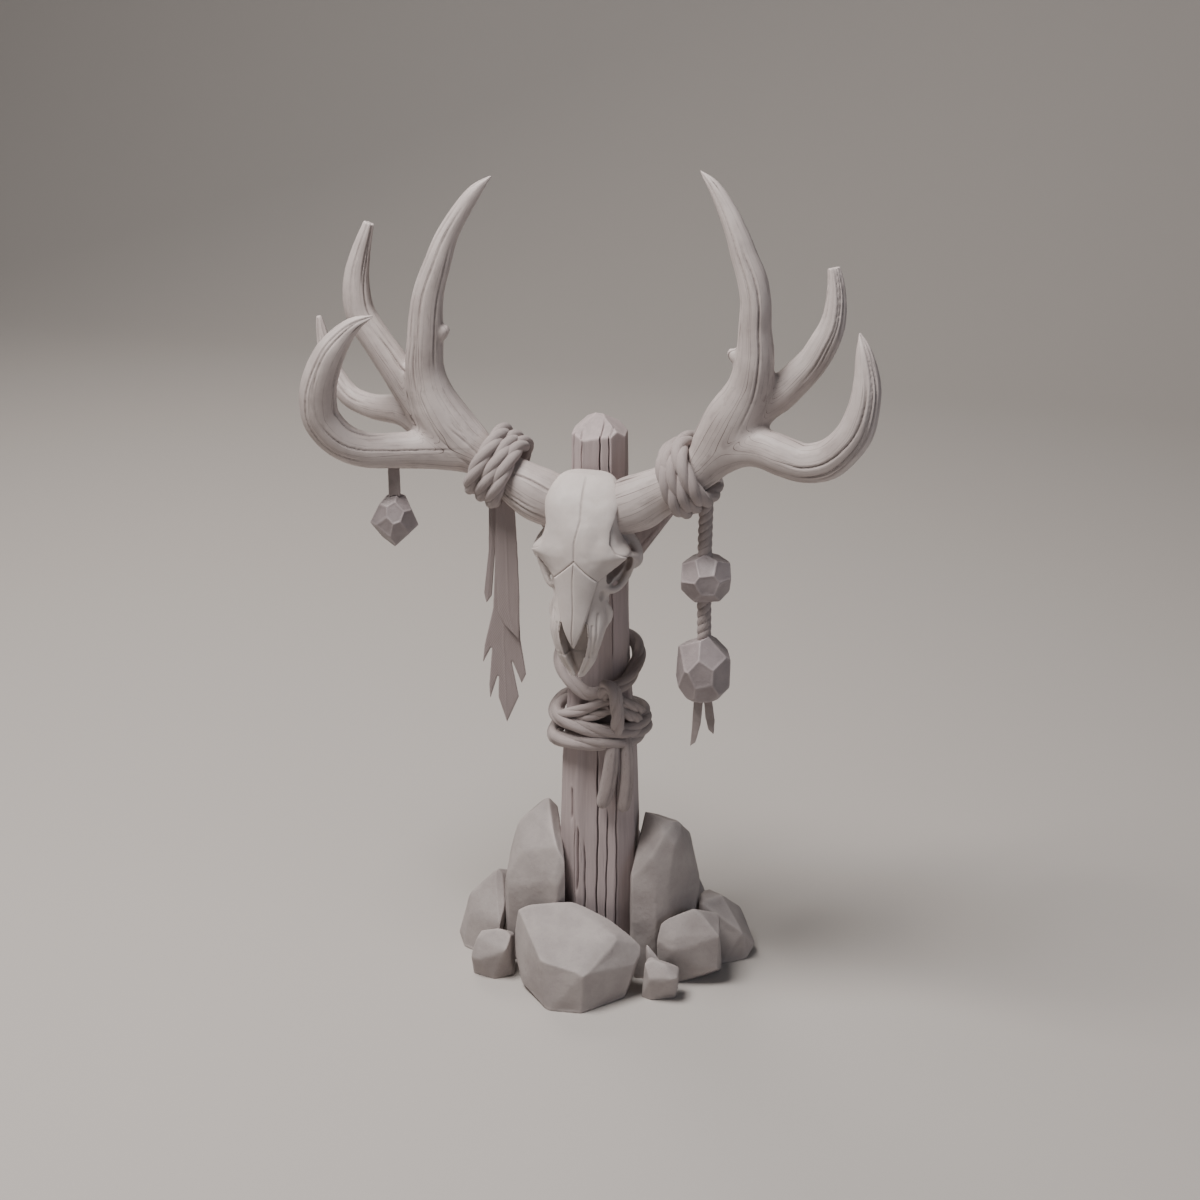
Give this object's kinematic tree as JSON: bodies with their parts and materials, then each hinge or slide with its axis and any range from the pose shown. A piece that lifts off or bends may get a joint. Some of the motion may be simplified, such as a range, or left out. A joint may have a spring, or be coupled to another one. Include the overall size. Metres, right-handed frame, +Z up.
{
  "type": "deer skull mounted on a timber post",
  "caption": "Antlered deer skull lashed to an upright timber post in a ring of rocks, hung with faceted beads, rope tails and feathers, as a still display piece.",
  "frame": {"origin": "centre of the post's flat foot, on the floor", "axes": "+Z up along the post, the skull's face looks along -Y, +X is to a viewer's right"},
  "size_m": [0.7371, 0.3302, 1.0642],
  "materials": {
    "bone": "dry bleached bone, fine pores and sutures, matt",
    "antler": "weathered antler with long shallow grooves, matt",
    "timber": "split grey timber with drying cracks, untreated",
    "rope": "laid plant-fibre rope, greyed",
    "leather": "flat rawhide strip, dry",
    "feather": "stiff notched feather vanes, matt",
    "bead": "faceted carved stone bead, dull",
    "stone": "chipped pale grey rock, rounded edges, matt"
  },
  "bodies": {
    "root": {"post": "timber", "strut_left": "timber", "strut_right": "timber", "skull_cranium": "bone", "skull_muzzle": "bone", "skull_nasal": "bone", "antler_left_beam": "antler", "antler_left_tine_a": "antler", "antler_left_tine_b": "antler", "antler_left_tine_c": "antler", "antler_left_tine_d": "antler", "antler_right_beam": "antler", "antler_right_tine_a": "antler", "antler_right_tine_b": "antler", "antler_right_tine_d": "antler", "lashing_left": "rope", "lashing_right": "rope", "lashing_post": "rope", "bead_rope_upper": "rope", "bead_rope_lower": "rope", "bead_upper": "bead", "bead_lower": "bead", "tassel_left": "leather", "tassel_right": "leather", "pendant_strap": "leather", "pendant_drop": "bead", "feather_front": "feather", "feather_long": "feather", "feather_side": "feather", "rock_front": "stone", "rock_tall_left": "stone", "rock_far_left": "stone", "rock_small_left": "stone", "rock_tall_right": "stone", "rock_mid_right": "stone", "rock_far_right": "stone", "rock_small_right": "stone", "rock_chip": "stone", "rock_back_tall": "stone", "rock_back_left": "stone", "rock_back_right": "stone", "rock_back_low": "stone"}
  },
  "joints": []
}
